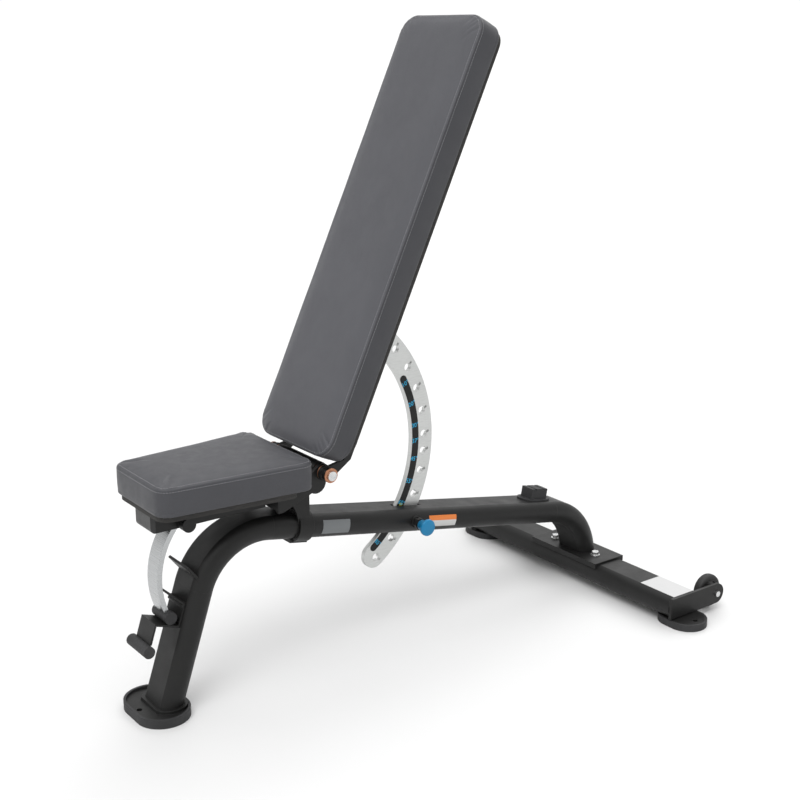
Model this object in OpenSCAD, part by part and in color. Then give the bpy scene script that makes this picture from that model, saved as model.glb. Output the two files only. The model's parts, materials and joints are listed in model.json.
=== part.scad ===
// Adjustable weight bench, millimetres, +Z up, +X towards the rear, Y = 0 is the middle plane.
// It stands on its three feet with the back pad at its 65 degree setting and the seat level.

/* [Overall] */
// Length from the front foot to the back of the transport wheels
bench_len = 1290; // [1260:1:1320]
// Distance between the middles of the two rear feet
rear_track = 666; // [620:2:700]
// Height of the backrest and seat pivot above the floor
pivot_z = 432.7; // [430:0.1:436]

/* [Frame tube] */
// Thickness of the flat-oval frame tube
tube_d = 49; // [46:1:52]
// Width of the flat-oval frame tube
tube_w = 94; // [90:1:98]
// Width of the tube's flat faces
tube_flat = 60; // [56:1:64]
// Wall of the frame tubes
tube_t = 3; // [2:0.5:4]
// Centre-line radius of both bends
bend_r = 136; // [130:1:142]
// Lean of the front leg above the floor, degrees
leg_angle = 71.5; // [70:0.5:73]
// Fall of the spine towards the rear, degrees
spine_fall = 10.25; // [9:0.25:11]
// Drop from the pivot to the spine's centre line
spine_drop = 125; // [123:0.5:127]

/* [Adjuster] */
// Radius of the circle that the adjuster holes lie on
hole_ring_r = 300; // [298:1:302]
// Width of the adjuster plate
arc_band = 53.5; // [50:0.5:56]
// Thickness of the adjuster plate
arc_t = 10; // [8:1:11]
// Diameter of the adjuster holes
arc_hole_d = 16; // [15.9:0.1:17]

/* [Pads] */
// Width of the back pad
back_pad_w = 254; // [246:1:262]
// Distance from the pivot to the lower end of the back pad
back_pad_start = 31; // [31:1:36]
// Distance from the pivot to the top end of the back pad
back_pad_end = 915; // [880:1:920]
// Height of the seat pad's top seam above the floor
seat_top = 477; // [475:1:479]
// Length of the seat pad
seat_len = 299; // [295:1:312]
// Width of the seat pad at its front
seat_front_w = 198; // [190:1:206]
// Width of the seat pad at its rear
seat_rear_w = 248; // [240:1:256]

/* [Feet and wheels] */
// Width of the front foot along the bench
foot_w = 105; // [100:1:110]
// Length of the front foot across the bench
foot_len = 154; // [150:2:160]
// Height of the feet
foot_h = 18; // [17.5:0.5:20]
// Diameter of the transport wheels
wheel_d = 72; // [68:1:76]
// Width of the transport wheels
wheel_w = 20; // [18:1:24]

/* [Hidden] */
$fn = 64;
// The back pad's angle above the floor as drawn, and where the lock pin meets the adjuster
back_angle = 65;
pin_drop = 34.3;

foot_x = -bench_len / 2 + foot_w / 2;
leg_x0 = foot_x + 10.4;
pivot_x = foot_x + 334.5;
axle_x = bench_len / 2 - wheel_d / 2;
axle_z = 42;
bar_x = axle_x - 101.5;
front_plate_top = 13;
rear_plate_top = 16;
plate_t = 6;
foot_rim = 5;
bar_z = rear_plate_top + tube_d / 2;

// Centre-line points: the leg line meets the spine line at the corner
leg_dir = [cos(leg_angle), sin(leg_angle)];
leg_out = [-sin(leg_angle), cos(leg_angle)];
spine_dir = [cos(spine_fall), -sin(spine_fall)];
leg_foot = [leg_x0, 0];
spine_ref = [pivot_x, pivot_z - spine_drop];
turn = leg_angle + spine_fall;
corner = leg_foot + leg_dir * (cross(spine_ref - leg_foot, spine_dir) / cross(leg_dir, spine_dir));
tangent = bend_r * tan(turn / 2);
leg_end = corner - leg_dir * tangent;
spine_start = corner + spine_dir * tangent;
front_bend_c = leg_end + bend_r * [sin(leg_angle), -cos(leg_angle)];
rear_bend_x = bar_x - bend_r;
rear_bend_z = spine_ref[1] - (rear_bend_x - pivot_x) * tan(spine_fall) - bend_r / cos(spine_fall);
rear_bend_c = [rear_bend_x, rear_bend_z];
spine_end = rear_bend_c + bend_r * [sin(spine_fall), cos(spine_fall)];
spine_len = norm(spine_end - spine_start);
saddle_z = bar_z + tube_d / 2;
saddle_t = 5;

// The pivot in the spine's own axes: along it from spine_ref, and above its centre line
pivot_s = -spine_drop * sin(spine_fall);
pivot_n = spine_drop * cos(spine_fall);
arc_ro = hole_ring_r + arc_band / 2 - 5.25;
arc_ri = arc_ro - arc_band;
arc_labels = [-10, 0, 10, 20, 30, 37, 45, 55, 65, 75, 85];
slot_w = arc_t + 2;
slot_over = 18;
pin_x = pivot_x + hole_ring_r * cos(pin_drop);
pin_z = pivot_z - hole_ring_r * sin(pin_drop);

// Stations of the hinge stack, measured outwards from the middle plane
fit = 0.05;
pin_r = 8;
boss_y = 66;
seat_plate_y = 69;
seat_plate_t = 8;
bush_flange = 2.5;
housing_y = 82.4;
housing_len = 22;
bush_r = 10;
flange_r = 14.5;
pin_half = 107.2;

// Backrest stack: distances behind (+) or in front (-) of the pivot plane
pad_front = -41.5;
pad_back = 11;
board_t = 11;
rail_t = 4;
beam_x0 = pad_back + board_t + rail_t;
beam_d = 44;
beam_w = 84;
beam_flat = 50;
beam_end = 760;
cross_d = 40;
cross_t = 16;
cross_s = 85;
beam_start = cross_s + cross_d;
cap_t = 4;
back_rails = [165, 440, 715];
rail_w = 40;
rail_len = 190;
board_in = 8;
pad_corner_r = 42;
pad_edge_r = 12;

// Seat stack, relative to the pivot
seat_rear = -57;
seat_pad_z0 = 420 - pivot_z;
seat_board_t = 11;
seat_board_rear = -76;
seat_board_in = 7;
seat_crown = 4;
seat_tube_h = 36;
seat_tube_w = 60;
seat_tube_z0 = seat_pad_z0 - seat_board_t - rail_t - seat_tube_h;
seat_tube_front = -332;
end_plate_x = -101;
end_plate_t = 6;
seat_rails = [-290, -150];
seat_rail_len = 156;
seat_bolt_y = 62;
cap_len = 10;
bolt_hole_r = 4.2;

// Seat strut: its pin, its roller and the bow of the bar between them
strut_x = -277;
strut_z = 380 - pivot_z;
strut_pin_r = 6;
strut_w = 40;
strut_t = 10;
strut_bow = 30;
strut_eye_r = 11.5;
strut_slot = [-325, -262];
roller_r = 12.5;
roller_len = 55.4;

// Ladder on the front leg: the lowest shelf's height up the leg, and the sheet's sizes
ladder_w = 56;
sheet_t = 4;
shelf_s = 171.3;
shelf_len = 53.5;
shelf_lip = 37;
web_len = 49;
hook_len = 28;
hook_rise = 24;
roller_out = 22.8;
handle_r = 11.5;
handle_len = 74;
handle_drop = 48.5;
roller_s = shelf_s + sheet_t + roller_r + 0.3;
roller_at = leg_foot + leg_dir * roller_s + leg_out * (tube_d / 2 + roller_out) - [pivot_x, pivot_z];

// ---------- shared shapes ----------

// Flat-oval section: x is the thickness, y the width; arcs cut the two sides round
module oval(d, w, flat) {
  side = (w - flat) / 2;
  r = (d * d / 4 + side * side) / (2 * side);
  difference() {
    square([d, w + 2], center = true);
    for (s = [-1, 1])
      difference() {
        translate([0, s * (w / 2 - r + d)])
          square([2 * d, 2 * d], center = true);
        translate([0, s * (w / 2 - r)])
          circle(r = r);
      }
  }
}

module oval_ring(d, w, flat, t) {
  difference() {
    oval(d, w, flat);
    oval(d - 2 * t, w - 2 * t, flat - 2);
  }
}

// Slot outline along Y: straight part between two half circles
module stadium(w, len) {
  square([w, len - w], center = true);
  for (s = [-1, 1])
    translate([0, s * (len - w) / 2])
      circle(d = w);
}

// Round bar or hole along Y, centred
module bar_y(r, len) {
  rotate([90, 0, 0])
    cylinder(r = r, h = len, center = true);
}

// Round bar along Y between two stations
module bar_span(r, y0, y1) {
  translate([0, (y0 + y1) / 2, 0])
    bar_y(r, y1 - y0);
}

// Extrude an XZ outline along Y between two stations
module slab(y0, y1) {
  translate([0, y1, 0])
    rotate([90, 0, 0])
      linear_extrude(height = y1 - y0)
        children();
}

module both_sides() {
  for (s = [-1, 1])
    scale_y(s)
      children();
}

module scale_y(s) {
  if (s < 0)
    mirror([0, 1, 0])
      children();
  else
    children();
}

module at_pivot() {
  translate([pivot_x, 0, pivot_z])
    children();
}

// The spine's own axes: local z runs along it, local -x points up from it
module on_spine(s = 0) {
  translate([spine_ref[0] + spine_dir[0] * s, 0, spine_ref[1] + spine_dir[1] * s])
    rotate([0, 90 + spine_fall, 0])
      children();
}

// The leg's own axes: local z runs up it, local -x points out of its front face
module on_leg(s = 0) {
  translate([leg_foot[0] + leg_dir[0] * s, 0, leg_foot[1] + leg_dir[1] * s])
    rotate([0, 90 - leg_angle, 0])
      children();
}

// The back pad's own axes: local z runs up the pad, local +x points behind it
module on_back() {
  at_pivot()
    rotate([0, 90 - back_angle, 0])
      children();
}

module hex_bolt(r, head_h, shank_r, shank_len) {
  cylinder(r = r, h = head_h, $fn = 6);
  translate([0, 0, -shank_len])
    cylinder(r = shank_r, h = shank_len + 0.01);
}

// ---------- base frame ----------

foot_hole_r = 5.5;
front_hole_x = foot_x - 36.5;
rear_hole_y = 36;
collar_grow = 14;

// Rubber foot: a tray with a raised rim
module foot_tray(w, len, top) {
  difference() {
    linear_extrude(height = foot_h)
      stadium(w, len);
    translate([0, 0, top - plate_t])
      linear_extrude(height = foot_h)
        stadium(w - 2 * foot_rim, len - 2 * foot_rim);
  }
}

// Steel plate that fills the tray up to its top
module foot_inlay(w, len, top) {
  translate([0, 0, top - plate_t])
    linear_extrude(height = plate_t)
      stadium(w - 2 * foot_rim, len - 2 * foot_rim);
}

module front_foot_hole() {
  translate([front_hole_x, 0, -1])
    cylinder(r = foot_hole_r, h = 2 * foot_h);
}

// The leg's outer shape, long enough to cut what it passes through
module leg_solid(grow) {
  on_leg(-20)
    linear_extrude(height = 70)
      oval(tube_d + grow, tube_w + grow, tube_flat + grow / 3);
}

// Raised collar round the foot of the leg
module leg_collar(grow) {
  intersection() {
    leg_solid(collar_grow + grow);
    translate([foot_x - foot_w, -foot_len, front_plate_top - 1])
      cube([2 * foot_w, 2 * foot_len, 7]);
  }
}

module front_foot_pad() {
  color([0.09, 0.09, 0.095])
    difference() {
      translate([foot_x, 0, 0])
        foot_tray(foot_w, foot_len, front_plate_top);
      front_foot_hole();
      leg_collar(0.8);
    }
}

module front_foot_plate() {
  color([0.13, 0.13, 0.13])
    difference() {
      union() {
        translate([foot_x, 0, 0])
          foot_inlay(foot_w, foot_len, front_plate_top);
        leg_collar(0);
      }
      intersection() {
        leg_solid(0);
        translate([foot_x - foot_w, -foot_len, front_plate_top])
          cube([2 * foot_w, 2 * foot_len, 40]);
      }
      front_foot_hole();
    }
}

module front_leg_tube() {
  len = norm(leg_end - leg_foot);
  color([0.11, 0.11, 0.11])
    difference() {
      on_leg(-20)
        linear_extrude(height = len + 20)
          oval_ring(tube_d, tube_w, tube_flat, tube_t);
      translate([foot_x - foot_w, -foot_len, -60])
        cube([2 * foot_w, 2 * foot_len, 60 + front_plate_top]);
    }
}

// Bend in the XZ plane between two polar angles
module bend(c, a0, a1) {
  translate([c[0], 0, c[1]])
    rotate([90, 0, 0])
      rotate([0, 0, a0])
        rotate_extrude(angle = a1 - a0, $fn = 96)
          translate([bend_r, 0])
            oval_ring(tube_d, tube_w, tube_flat, tube_t);
}

module front_bend_tube() {
  color([0.11, 0.11, 0.11])
    bend(front_bend_c, 90 - spine_fall, 90 + leg_angle);
}

// Middle of the adjuster's crossing of a level n above the spine's centre line
function cross_in(n) = pivot_s + sqrt(arc_ri * arc_ri - (pivot_n - n) * (pivot_n - n));
function cross_out(n) = pivot_s + sqrt(arc_ro * arc_ro - (pivot_n - n) * (pivot_n - n));

module spine_tube() {
  color([0.11, 0.11, 0.11])
    difference() {
      translate([spine_start[0], 0, spine_start[1]])
        rotate([0, 90 + spine_fall, 0])
          linear_extrude(height = spine_len)
            oval_ring(tube_d, tube_w, tube_flat, tube_t);
      for (side = [-1, 1])
        let (n = side * tube_d / 2, s0 = cross_in(n), s1 = cross_out(n))
          on_spine((s0 + s1) / 2)
            translate([-n, 0, 0])
              cube([4 * tube_t, slot_w, s1 - s0 + slot_over], center = true);
      translate([pin_x, -tube_w / 2, pin_z])
        bar_y(13, 20);
    }
}

module rear_bend_tube() {
  color([0.11, 0.11, 0.11])
    difference() {
      bend(rear_bend_c, 2, 90 - spine_fall);
      translate([bar_x - 80, -80, 0])
        cube([160, 160, saddle_z + saddle_t]);
    }
}

saddle_bolt_y = 67;
saddle_bolt_x = bar_x - 5.5;
saddle_len = 214;
saddle_w = 90;
saddle_wrap = 7;

module saddle_holes() {
  for (s = [-1, 1])
    translate([saddle_bolt_x, s * saddle_bolt_y, saddle_z - 20])
      cylinder(r = 5.2, h = 40);
}

// The crossbar's section swept along Y
module bar_sweep(len) {
  translate([bar_x, 0, bar_z])
    rotate([90, 0, 0])
      rotate([0, 0, 90])
        linear_extrude(height = len, center = true)
          children();
}

module rear_crossbar() {
  color([0.11, 0.11, 0.11])
    difference() {
      bar_sweep(rear_track)
        oval_ring(tube_d, tube_w, tube_flat, tube_t);
      saddle_holes();
    }
}

module rear_saddle() {
  color([0.11, 0.11, 0.11])
    difference() {
      translate([bar_x - saddle_w / 2, -saddle_len / 2, saddle_z - saddle_wrap])
        cube([saddle_w, saddle_len, saddle_t + saddle_wrap]);
      bar_sweep(2 * saddle_len)
        oval(tube_d, tube_w, tube_flat);
      saddle_holes();
    }
}

module saddle_bolts() {
  color([0.75, 0.75, 0.76])
    for (s = [-1, 1])
      translate([saddle_bolt_x, s * saddle_bolt_y, saddle_z + saddle_t + washer_t])
        hex_bolt(8.6, 7, 5, 30);
}

washer_t = 2;

module saddle_washers() {
  color([0.7, 0.7, 0.71])
    for (s = [-1, 1])
      translate([saddle_bolt_x, s * saddle_bolt_y, saddle_z + saddle_t])
        difference() {
          cylinder(r = 10.5, h = washer_t);
          translate([0, 0, -1])
            cylinder(r = 5.2, h = washer_t + 2);
        }
}

bracket_t = 7;
bracket_end_r = 23;

// End plate: it closes the crossbar and reaches back to a round end at the axle
module bracket_plate() {
  x0 = bar_x - tube_w / 2 + 1.5;
  z0 = foot_h + 0.3;
  x1 = axle_x - 3;
  slab(rear_track / 2, rear_track / 2 + bracket_t)
    polygon([
      [x0, z0], [x0, saddle_z - 4], [x0 + 4, saddle_z], [x1, axle_z + bracket_end_r - 0.3],
      [x1, axle_z - bracket_end_r + 0.3], [axle_x - 15, z0]
    ]);
  translate([axle_x, 0, axle_z])
    bar_span(bracket_end_r, rear_track / 2, rear_track / 2 + bracket_t);
}

module wheel_bracket(s) {
  color([0.13, 0.13, 0.13])
    scale_y(s)
      difference() {
        bracket_plate();
        translate([axle_x, rear_track / 2, axle_z])
          bar_y(axle_r, 40);
      }
}

module wheel_bracket_right() { wheel_bracket(-1); }
module wheel_bracket_left() { wheel_bracket(1); }

rear_foot_w = 88;
rear_foot_len = 112;

module rear_foot_at(s) {
  scale_y(s)
    translate([bar_x, rear_track / 2, 0])
      children();
}

module rear_foot_hole() {
  translate([0, rear_hole_y, -1])
    cylinder(r = foot_hole_r, h = 2 * foot_h);
}

module rear_foot_pad(s) {
  color([0.09, 0.09, 0.095])
    difference() {
      rear_foot_at(s)
        difference() {
          foot_tray(rear_foot_w, rear_foot_len, rear_plate_top);
          rear_foot_hole();
        }
      translate([bar_x, 0, bar_z])
        cube([tube_w + 0.8, 2 * rear_track, tube_d + 0.6], center = true);
    }
}

module rear_foot_pad_right() { rear_foot_pad(-1); }
module rear_foot_pad_left() { rear_foot_pad(1); }

module rear_foot_plates() {
  color([0.13, 0.13, 0.13])
    for (s = [-1, 1])
      rear_foot_at(s)
        difference() {
          foot_inlay(rear_foot_w, rear_foot_len, rear_plate_top);
          rear_foot_hole();
        }
}

// ---------- transport wheels ----------

wheel_y = rear_track / 2 - 12 - wheel_w / 2;
axle_r = 5;
hub_r = 13;

spacer_r = 8;

module at_axles() {
  both_sides()
    translate([axle_x, 0, axle_z])
      children();
}

module axle_bolts() {
  inner = wheel_y - wheel_w / 2;
  outer = rear_track / 2 + bracket_t;
  color([0.75, 0.75, 0.76])
    at_axles() {
      bar_span(axle_r, inner - 8, outer + 1);
      bar_span(6.5, outer, outer + 5);
      bar_span(spacer_r, inner - 8, inner - 1.5);
    }
}

module wheel_spacers() {
  color([0.2, 0.2, 0.2])
    at_axles()
      difference() {
        bar_span(spacer_r, wheel_y + wheel_w / 2 + 0.5, rear_track / 2);
        bar_y(axle_r, 2 * rear_track);
      }
}

module wheel_hub(s) {
  color([0.16, 0.16, 0.165])
    scale_y(s)
      translate([axle_x, wheel_y, axle_z])
        difference() {
          union() {
            bar_y(hub_r, wheel_w);
            bar_y(wheel_d / 2 - 10, wheel_w - 8);
          }
          bar_y(axle_r + fit, wheel_w + 2);
        }
}

module wheel_hub_right() { wheel_hub(-1); }
module wheel_hub_left() { wheel_hub(1); }

module wheel_tyre(s) {
  color([0.05, 0.05, 0.05])
    scale_y(s)
      translate([axle_x, wheel_y, axle_z])
        rotate([90, 0, 0])
          rotate_extrude()
            difference() {
              translate([wheel_d / 2 - 14, -wheel_w / 2])
                square([14, wheel_w]);
              translate([wheel_d / 2 - 15, -(wheel_w - 8) / 2])
                square([5, wheel_w - 8]);
            }
}

module wheel_tyre_right() { wheel_tyre(-1); }
module wheel_tyre_left() { wheel_tyre(1); }

// ---------- rest block on the spine ----------

block_s = 626;
block_len = 47;
block_w = 34;
block_h = 27;

block_foot = [50, 82, 4];

module rest_block() {
  color([0.07, 0.07, 0.07])
    on_spine(block_s)
      translate([-tube_d / 2, 0, 0])
        rotate([0, -90, 0])
          difference() {
            union() {
              linear_extrude(height = block_foot[2])
                rotate([0, 0, 90])
                  stadium(block_foot[0], block_foot[1]);
              linear_extrude(height = block_h)
                square([block_len, block_w], center = true);
            }
            for (s = [-1, 1])
              translate([s * block_len / 4, 0, block_h])
                cube([4, block_w + 2, 6], center = true);
          }
}

// ---------- hinge post and pin ----------

post_half = 45;
cheek_t = 6;
boss_r = 17;
collar_mid = -22;
collar_len = 32;
collar_wall = 6;

// Side outline of the cheeks, relative to the pivot: a curved front edge under the seat's hinge
module cheek_outline() {
  difference() {
    polygon([[-11, -133], [-11, -31], [10, -14], [0, 0], [-14, 9], [-86, -31], [-86, -133]]);
    translate([-100, -105])
      circle(r = 62);
  }
}

module hinge_post() {
  color([0.12, 0.12, 0.12])
    difference() {
      union() {
        at_pivot() {
          both_sides()
            slab(post_half - cheek_t, post_half)
              cheek_outline();
          translate([-17, -post_half, -133])
            cube([6, 2 * post_half, 133 - 24]);
          bar_y(boss_r, 2 * boss_y);
        }
        on_spine(collar_mid - collar_len / 2)
          linear_extrude(height = collar_len)
            oval(tube_d + 2 * collar_wall, tube_w + 2 * collar_wall, tube_flat + 4);
        on_spine(collar_mid)
          translate([tube_d / 2 + collar_wall, 0, 0])
            cube([8, tube_flat - 4, collar_len + 8], center = true);
      }
      spine_solid();
      at_pivot()
        bar_y(pin_r, 300);
    }
}

// The tube's solid outline from the bend back, to trim what wraps it
module spine_solid() {
  on_spine(-120)
    linear_extrude(height = 240)
      oval(tube_d, tube_w, tube_flat);
}

module hinge_pin() {
  color([0.7, 0.7, 0.71])
    at_pivot()
      bar_y(pin_r, 2 * pin_half);
}

module hinge_screws() {
  color([0.78, 0.78, 0.79])
    at_pivot()
      both_sides()
        bar_span(9.5, pin_half, pin_half + 4.5);
}

// ---------- lock pin ----------

lock_r = 7.5;
lock_tip = -arc_t / 2 - 0.9;
chamber_r = 10.6;
barrel_in = -8;
barrel_out = -52;
shoulder_y = -18;
knob_r = 17.5;
knob_y = -93;
collar_out = -63;

module at_lock() {
  translate([pin_x, 0, pin_z])
    children();
}

module pin_barrel() {
  color([0.1, 0.1, 0.1])
    at_lock()
      difference() {
        bar_span(13, barrel_out, barrel_in);
        bar_y(lock_r + fit, 200);
        bar_span(chamber_r, barrel_out - 1, barrel_in - 7);
      }
}

module pin_collar() {
  color([0.35, 0.35, 0.36])
    at_lock()
      difference() {
        union() {
          bar_span(chamber_r, barrel_out, barrel_out + 3);
          rotate([90, 0, 0])
            translate([0, 0, -barrel_out])
              cylinder(r = 12.5, h = barrel_out - collar_out, $fn = 6);
        }
        bar_y(lock_r + fit, 200);
      }
}

spring_turns = 5;
spring_wire = 1.6;
spring_y0 = shoulder_y - 16.5;
spring_y1 = shoulder_y - 0.2;
spring_r = 9.1;

// Rings stand for the coils, with a straight link between each two
module pin_spring() {
  pitch = (spring_y1 - spring_y0 - spring_wire) / (spring_turns - 1);
  color([0.6, 0.6, 0.6])
    at_lock() {
      for (i = [0:spring_turns - 1])
        translate([0, spring_y0 + spring_wire / 2 + i * pitch, 0])
          rotate([90, 0, 0])
            rotate_extrude()
              translate([spring_r, 0])
                circle(d = spring_wire, $fn = 24);
      for (i = [0:spring_turns - 2])
        rotate([0, i % 2 * 180, 0])
          translate([spring_r, 0, 0])
            bar_span(spring_wire / 2 - 0.1, spring_y0 + spring_wire / 2 + i * pitch,
                     spring_y0 + spring_wire / 2 + (i + 1) * pitch);
    }
}

module lock_pin() {
  color([0.66, 0.66, 0.67])
    at_lock() {
      bar_span(lock_r, knob_y + 15, lock_tip);
      bar_span(chamber_r - 0.3, shoulder_y, shoulder_y + 2.5);
    }
}

module pin_knob() {
  color([0.12, 0.42, 0.62])
    at_lock()
      difference() {
        union() {
          bar_span(11, knob_y + 9, knob_y + 27);
          bar_span(knob_r, knob_y, knob_y + 11);
        }
        bar_span(lock_r, knob_y + 15, lock_tip);
      }
}

// ---------- ladder for the seat strut ----------

// Sheet outline seen from the side: x out of the leg's front face, y up the leg from the shelf
module ladder_outline() {
  square([sheet_t, web_len]);
  translate([0, web_len - 2])
    rotate(hook_rise)
      translate([0, -sheet_t])
        square([hook_len, sheet_t]);
  square([shelf_len, sheet_t]);
  translate([shelf_len - sheet_t, -shelf_lip])
    square([sheet_t, shelf_lip + sheet_t]);
  translate([sheet_t, web_len - 7])
    circle(r = 4);
}

module at_shelf() {
  on_leg(shelf_s)
    translate([-tube_d / 2, 0, 0])
      mirror([1, 0, 0])
        children();
}

module handle_shape() {
  translate([shelf_len + 2, 0, -handle_drop])
    bar_y(handle_r, handle_len);
}

module ladder() {
  color([0.12, 0.12, 0.12])
    at_shelf()
      difference() {
        slab(-ladder_w / 2, ladder_w / 2)
          ladder_outline();
        handle_shape();
      }
}

module lift_handle() {
  color([0.1, 0.1, 0.1])
    at_shelf()
      handle_shape();
}

upper_hook_a = 151.6;
upper_hook_pitch = 128;

module upper_hook() {
  r0 = bend_r + tube_d / 2;
  color([0.12, 0.12, 0.12])
    difference() {
      translate([front_bend_c[0] + r0 * cos(upper_hook_a), 0, front_bend_c[1] + r0 * sin(upper_hook_a)])
        rotate([0, 90 - upper_hook_pitch, 0])
          translate([-2.5, -38, -10])
            cube([5, 76, hook_len + 10]);
      translate([front_bend_c[0], 0, front_bend_c[1]])
        rotate([90, 0, 0])
          rotate_extrude($fn = 96)
            translate([bend_r, 0])
              oval(tube_d, tube_w, tube_flat);
    }
}

// ---------- labels ----------

label_t = 0.6;

// A thin sheet lying on the curved near side of the spine
module side_label(s0, len, half_h) {
  on_spine(s0)
    intersection() {
      linear_extrude(height = len)
        difference() {
          oval(tube_d, tube_w + 2 * label_t, tube_flat);
          oval(tube_d, tube_w, tube_flat);
        }
      translate([-half_h, -tube_w, -1])
        cube([2 * half_h, tube_w, len + 2]);
    }
}

module name_plate() {
  color([0.72, 0.73, 0.74])
    side_label(19, 65, 14);
}

module spine_label() {
  color([0.85, 0.5, 0.2])
    side_label(288, 74, 12);
}

module crossbar_label() {
  color([0.9, 0.9, 0.9])
    translate([bar_x - tube_flat / 2, -rear_track / 2 + 1, saddle_z])
      cube([tube_flat, 98, label_t]);
}

// ---------- backrest ----------

module back_beam() {
  color([0.11, 0.11, 0.11])
    on_back()
      translate([beam_x0 + beam_d / 2, 0, beam_start])
        linear_extrude(height = beam_end - beam_start)
          oval_ring(beam_d, beam_w, beam_flat, tube_t);
}

module back_beam_caps() {
  color([0.06, 0.06, 0.06])
    on_back()
      translate([beam_x0 + beam_d / 2, 0, beam_end]) {
        linear_extrude(height = cap_t)
          oval(beam_d, beam_w, beam_flat);
        translate([0, 0, -14])
          linear_extrude(height = 14.5)
            oval(beam_d - 2 * tube_t - 1, beam_w - 2 * tube_t - 1, beam_flat - 4);
      }
}

lug_y = housing_y + 2;
lug_t = 8;
housing_r = 13;

module back_cross_tube() {
  color([0.11, 0.11, 0.11])
    on_back()
      difference() {
        translate([beam_x0, -lug_y, cross_s])
          cube([cross_t, 2 * lug_y, cross_d]);
        translate([beam_x0 + tube_t, -lug_y - 1, cross_s + tube_t])
          cube([cross_t - 2 * tube_t, 2 * lug_y + 2, cross_d - 2 * tube_t]);
      }
}

// Side lug in the back pad's axes: from the housing, behind the pad, to the cross tube's end
module lug_outline() {
  circle(r = 16);
  polygon([
    [-9, 9], [beam_x0 + 1, 35], [beam_x0 + 1, beam_start], [beam_x0 + cross_t, beam_start],
    [beam_x0 + cross_t, 40], [16, -4]
  ]);
}

module back_lug(s) {
  color([0.1, 0.1, 0.1])
    scale_y(s)
      on_back()
        difference() {
          union() {
            bar_span(housing_r, housing_y, housing_y + housing_len);
            slab(lug_y, lug_y + lug_t)
              lug_outline();
          }
          bar_y(bush_r, 300);
        }
}

module back_lug_right() { back_lug(-1); }
module back_lug_left() { back_lug(1); }

// A flanged bush at each end of each hinge housing
module bush_pair(y0, len, flange) {
  difference() {
    union() {
      bar_span(bush_r, y0, y0 + len);
      bar_span(flange_r, y0 - flange, y0);
      bar_span(flange_r, y0 + len, y0 + len + flange);
    }
    bar_y(pin_r + fit, 400);
  }
}

module back_bushes() {
  color([0.63, 0.43, 0.33])
    at_pivot()
      both_sides()
        bush_pair(housing_y, housing_len, bush_flange);
}

// Polar angle of the hole for one setting
function hole_angle(label) = back_angle - pin_drop - label;
arc_hi = 54;
arc_lo = hole_angle(85);
strip_r = arc_ri + 10.5;
strip_half = 6.5;
strip_ends = [hole_angle(83.2), hole_angle(3)];

// The notch beside each hole points this far above the radius
notch_turn = 20;

module arc_hole(label) {
  rotate(hole_angle(label))
    translate([hole_ring_r, 0]) {
      circle(d = arc_hole_d);
      rotate(notch_turn)
        translate([0, -2.5])
          square([arc_hole_d / 2 + 6, 5]);
    }
}

// Ring sector between two polar angles
module sector(r0, r1, a0, a1) {
  intersection() {
    difference() {
      circle(r = r1, $fn = 180);
      circle(r = r0, $fn = 180);
    }
    polygon([
      [0, 0],
      for (i = [0:4])
        let (a = a0 + (a1 - a0) * i / 4)
          2 * r1 * [cos(a), sin(a)]
    ]);
  }
}

module adjuster_plate() {
  mid = (arc_ri + arc_ro) / 2;
  color([0.66, 0.67, 0.66])
    at_pivot()
      difference() {
        slab(-arc_t / 2, arc_t / 2)
          difference() {
            union() {
              sector(arc_ri, arc_ro, arc_lo, arc_hi);
              rotate(arc_lo)
                translate([mid, 0])
                  circle(d = arc_band);
            }
            for (label = arc_labels)
              arc_hole(label);
          }
        rotate([0, 90 - back_angle, 0])
          translate([-100, -20, 0])
            cube([100 + beam_x0 + beam_d, 40, 400]);
      }
}

module angle_strip() {
  color([0.07, 0.07, 0.07])
    at_pivot()
      slab(-arc_t / 2 - 0.4, -arc_t / 2) {
        sector(strip_r - strip_half, strip_r + strip_half, strip_ends[0], strip_ends[1]);
        for (a = strip_ends)
          rotate(a)
            translate([strip_r, 0])
              circle(r = strip_half);
      }
}

rail_bolt_y = 78;

// Bolt holes through the rails and on into the board
module back_bolt_holes() {
  for (s = back_rails)
    for (side = [-1, 1])
      translate([pad_back + 2, side * rail_bolt_y, s])
        rotate([0, 90, 0])
          cylinder(r = bolt_hole_r, h = 40);
}

module back_rail_bars() {
  color([0.12, 0.12, 0.12])
    on_back()
      difference() {
        for (s = back_rails)
          translate([pad_back + board_t, -rail_len / 2, s - rail_w / 2])
            cube([rail_t, rail_len, rail_w]);
        back_bolt_holes();
      }
}

module back_board() {
  color([0.06, 0.06, 0.06])
    on_back()
      difference() {
        translate([pad_back, 0, 0])
          rotate([0, 90, 0])
            linear_extrude(height = board_t)
              rounded_sheet(back_pad_start + board_in, back_pad_end - board_in,
                            back_pad_w - 2 * board_in, pad_corner_r - board_in);
        back_bolt_holes();
      }
}

// Sheet outline for a part laid along -x after its rotation, with round corners
module rounded_sheet(s0, s1, w, r) {
  translate([-(s0 + s1) / 2, 0]) {
    square([s1 - s0 - 2 * r, w], center = true);
    square([s1 - s0, w - 2 * r], center = true);
    for (a = [-1, 1])
      for (b = [-1, 1])
        translate([a * ((s1 - s0) / 2 - r), b * (w / 2 - r)])
          circle(r = r);
  }
}

module back_pad() {
  color([0.36, 0.365, 0.385])
    on_back()
      intersection() {
        translate([pad_front - 1, 0, 0])
          rotate([0, 90, 0])
            linear_extrude(height = pad_back - pad_front + 1)
              rounded_sheet(back_pad_start, back_pad_end, back_pad_w, pad_corner_r);
        slab(-back_pad_w, back_pad_w)
          side_round(pad_front, pad_back, back_pad_start, back_pad_end);
      }
}

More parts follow.
